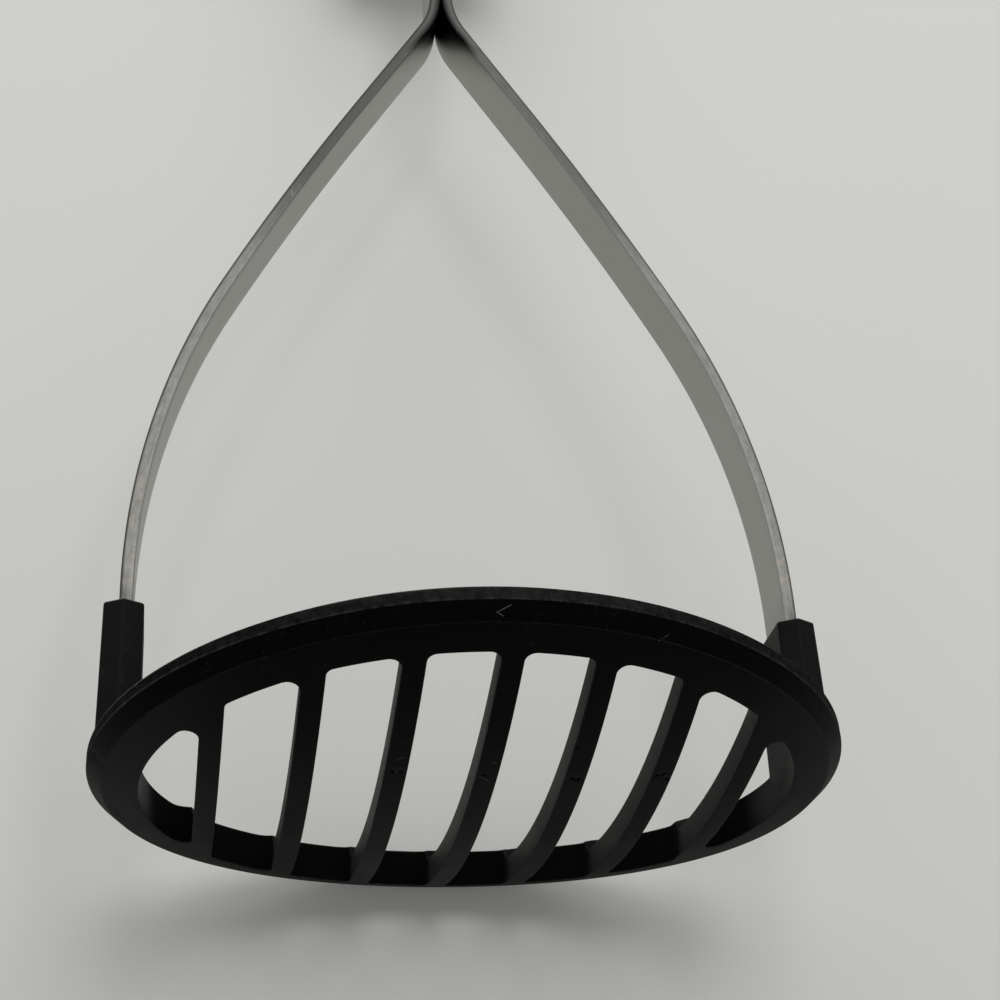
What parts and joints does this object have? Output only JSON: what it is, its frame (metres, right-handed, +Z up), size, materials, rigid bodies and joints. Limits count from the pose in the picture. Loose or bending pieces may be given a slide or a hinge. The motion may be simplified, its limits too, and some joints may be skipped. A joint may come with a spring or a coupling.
{
  "type": "potato masher",
  "caption": "Hand potato masher: a domed, slotted oval nylon head on two flat steel strips that meet in a long oval grip with a hanging eye.",
  "frame": {"origin": "middle of the bottom of the box round the tool as it lies on a table", "axes": "+Z up from the table, +Y along the tool from the mashing head to the handle (its longest way), +X across the head's long way, to the right when looking along +Y; the two halves are alike across X"},
  "size_m": [0.1084, 0.2932, 0.0907],
  "materials": {
    "black_nylon": "satin, finely scratched",
    "strip_steel": "dull brushed, worn at the edges",
    "collar_steel": "brushed round",
    "rivet_steel": "plain",
    "core_nylon": "matte",
    "grip_rubber": "soft matte",
    "cap_plastic": "satin",
    "eyelet_steel": "polished"
  },
  "bodies": {
    "root": {"mash_head": "black_nylon", "left_strip": "strip_steel", "right_strip": "strip_steel", "tang_rivets": "rivet_steel", "neck_collar": "collar_steel", "handle_core": "core_nylon", "soft_grip": "grip_rubber", "end_cap": "cap_plastic", "hang_eyelet": "eyelet_steel", "cap_pin": "rivet_steel"}
  },
  "joints": []
}
